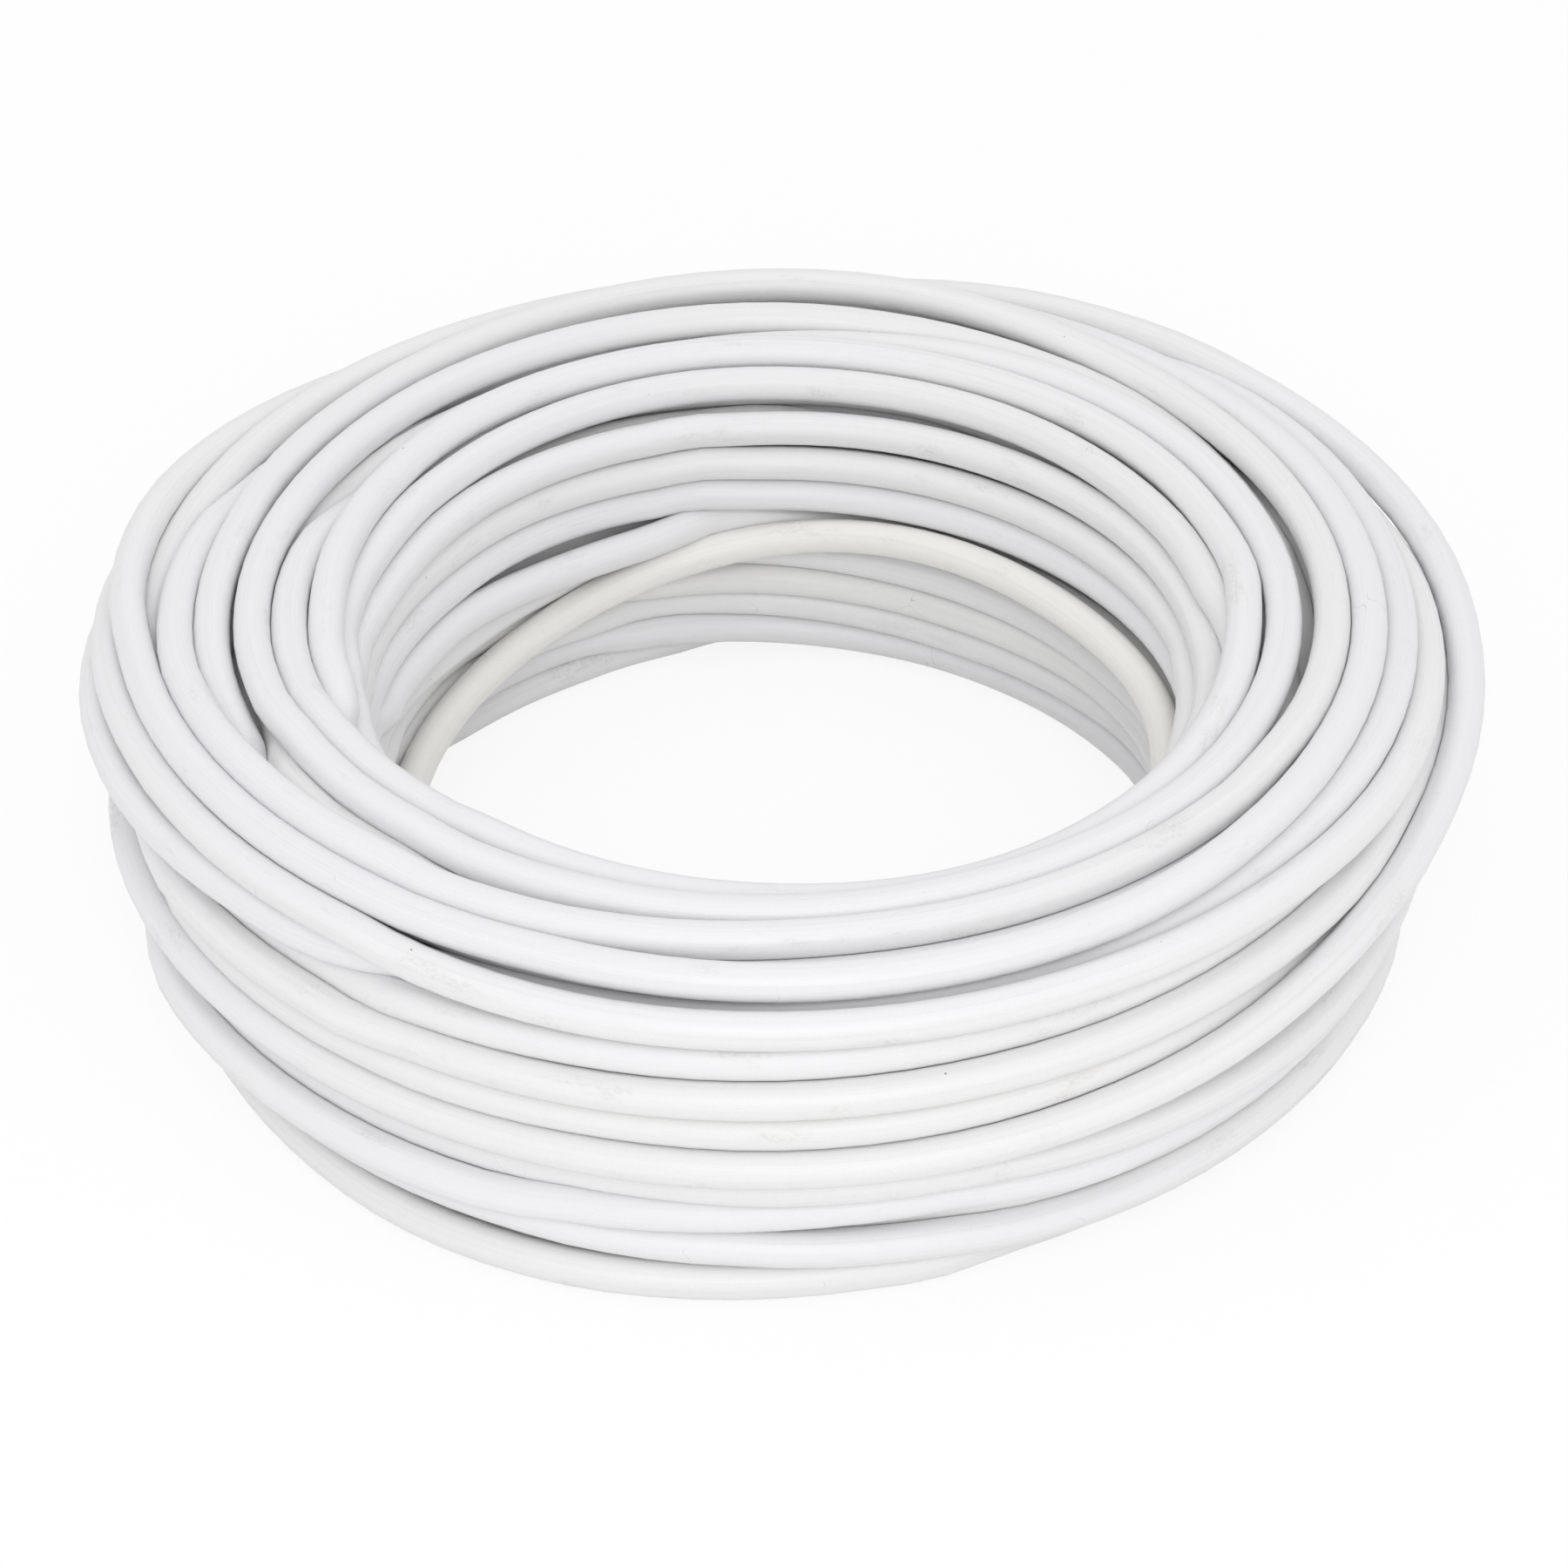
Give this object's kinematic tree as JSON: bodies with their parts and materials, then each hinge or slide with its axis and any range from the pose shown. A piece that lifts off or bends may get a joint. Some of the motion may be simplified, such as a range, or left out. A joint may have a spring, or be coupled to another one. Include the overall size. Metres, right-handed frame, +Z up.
{
  "type": "coiled power cable",
  "caption": "Coil of white round three-core flexible power cable with an open eye and flush-cut ends, lying flat.",
  "frame": {"origin": "middle of the coil's plan, at its flat underside", "axes": "+Z up along the axis of the coil's eye; -Y towards the side where the coil's front is seen; the visible turns start inside the eye at -Y and end at the foot of the outer wall at -X"},
  "size_m": [0.3087, 0.3082, 0.0802],
  "materials": {
    "white_sheath": "satin white PVC sheath, slightly scuffed",
    "line_insulation": "smooth brown PVC core insulation",
    "neutral_insulation": "smooth blue PVC core insulation",
    "earth_insulation": "smooth green and yellow PVC core insulation",
    "copper": "bare stranded copper, cut square"
  },
  "bodies": {
    "root": {"buried_turns": "white_sheath", "outer_turns": "white_sheath", "inner_stretch": "white_sheath", "outer_stretch": "white_sheath", "inner_end_line_core": "line_insulation", "inner_end_line_conductor": "copper", "inner_end_neutral_core": "neutral_insulation", "inner_end_neutral_conductor": "copper", "inner_end_earth_core": "earth_insulation", "inner_end_earth_conductor": "copper", "outer_end_line_core": "line_insulation", "outer_end_line_conductor": "copper", "outer_end_neutral_core": "neutral_insulation", "outer_end_neutral_conductor": "copper", "outer_end_earth_core": "earth_insulation", "outer_end_earth_conductor": "copper"}
  },
  "joints": []
}
